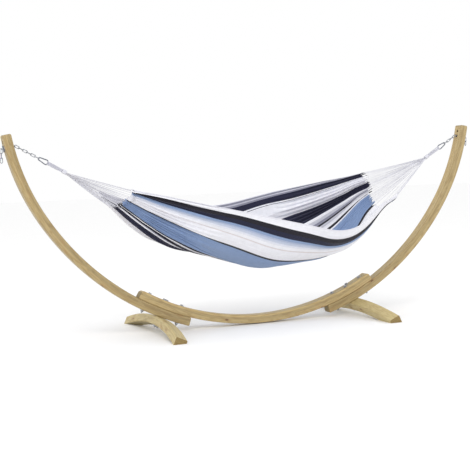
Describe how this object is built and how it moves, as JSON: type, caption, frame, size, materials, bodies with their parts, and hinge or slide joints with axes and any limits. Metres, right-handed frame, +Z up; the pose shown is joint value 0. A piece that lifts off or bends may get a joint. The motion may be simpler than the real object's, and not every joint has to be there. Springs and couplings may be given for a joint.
{
  "type": "hammock on stand",
  "caption": "Striped cloth hammock with cord fans at its ends, hung by short chains and snap hooks from the tips of a curved laminated-wood arc stand on arched feet.",
  "frame": {"origin": "on the ground, midway between the two tips and between the ends of the feet", "axes": "+X along the stand towards the right arm's tip, +Y towards the rear, +Z up"},
  "size_m": [3.225, 0.998, 1.2453],
  "materials": {
    "beam_wood": "satin oiled softwood",
    "foot_wood": "satin oiled softwood",
    "bolt_steel": "bright zinc",
    "chain_steel": "bright zinc",
    "hook_steel": "bright zinc",
    "cotton_cord": "matte twisted cotton",
    "striped_cloth": "matte woven cotton with lengthwise stripes",
    "hem_cloth": "matte woven cotton"
  },
  "bodies": {
    "stand": {"centre_arc": "beam_wood", "left_arm": "beam_wood", "left_foot": "foot_wood", "left_lap_bolts": "bolt_steel", "left_lap_bolt_washers": "bolt_steel", "left_lap_bolt_nuts": "bolt_steel", "left_foot_bolts": "bolt_steel", "left_foot_bolt_washers": "bolt_steel", "left_foot_bolt_nuts": "bolt_steel", "left_anchor_links": "chain_steel", "left_keeper_washer": "bolt_steel", "left_keeper_pin": "bolt_steel", "right_arm": "beam_wood", "right_foot": "foot_wood", "right_lap_bolts": "bolt_steel", "right_lap_bolt_washers": "bolt_steel", "right_lap_bolt_nuts": "bolt_steel", "right_foot_bolts": "bolt_steel", "right_foot_bolt_washers": "bolt_steel", "right_foot_bolt_nuts": "bolt_steel", "right_anchor_links": "chain_steel", "right_keeper_washer": "bolt_steel", "right_keeper_pin": "bolt_steel"},
    "hammock": {"fabric_bed": "striped_cloth", "front_hem": "hem_cloth", "rear_hem": "hem_cloth", "left_chain": "chain_steel", "left_snap_hook": "hook_steel", "left_eye_cords": "cotton_cord", "left_whipping": "cotton_cord", "left_end_cords": "cotton_cord", "left_end_hem": "hem_cloth", "right_chain": "chain_steel", "right_snap_hook": "hook_steel", "right_eye_cords": "cotton_cord", "right_whipping": "cotton_cord", "right_end_cords": "cotton_cord", "right_end_hem": "hem_cloth"},
    "left_tail": {"left_chain_tail": "chain_steel"},
    "left_gate": {"left_hook_gate": "hook_steel", "left_gate_pin": "hook_steel", "left_gate_plunger": "hook_steel", "left_gate_spring": "hook_steel"},
    "right_tail": {"right_chain_tail": "chain_steel"},
    "right_gate": {"right_hook_gate": "hook_steel", "right_gate_pin": "hook_steel", "right_gate_plunger": "hook_steel", "right_gate_spring": "hook_steel"}
  },
  "joints": [
    {"name": "hammock_swing", "type": "hinge", "parent": "stand", "child": "hammock", "pos_m": [0, 0, 1.17517], "axis": [1, 0, 0], "range_deg": [-25, 25]},
    {"name": "left_gate_hinge", "type": "hinge", "parent": "hammock", "child": "left_gate", "pos_m": [-1.37842, 0, 1.08474], "axis": [0, -1, 0], "range_deg": [0, 22], "stiffness_Nm_per_rad": 0.3, "springref_deg": -11.46},
    {"name": "left_tail_swing", "type": "hinge", "parent": "stand", "child": "left_tail", "pos_m": [-1.60238, 0, 1.15649], "axis": [0, 1, 0], "range_deg": [-10, 45]},
    {"name": "right_gate_hinge", "type": "hinge", "parent": "hammock", "child": "right_gate", "pos_m": [1.42635, 0, 1.10842], "axis": [0, 1, 0], "range_deg": [0, 22], "stiffness_Nm_per_rad": 0.3, "springref_deg": -11.46},
    {"name": "right_tail_swing", "type": "hinge", "parent": "stand", "child": "right_tail", "pos_m": [1.60238, 0, 1.15649], "axis": [0, -1, 0], "range_deg": [-10, 45]}
  ]
}
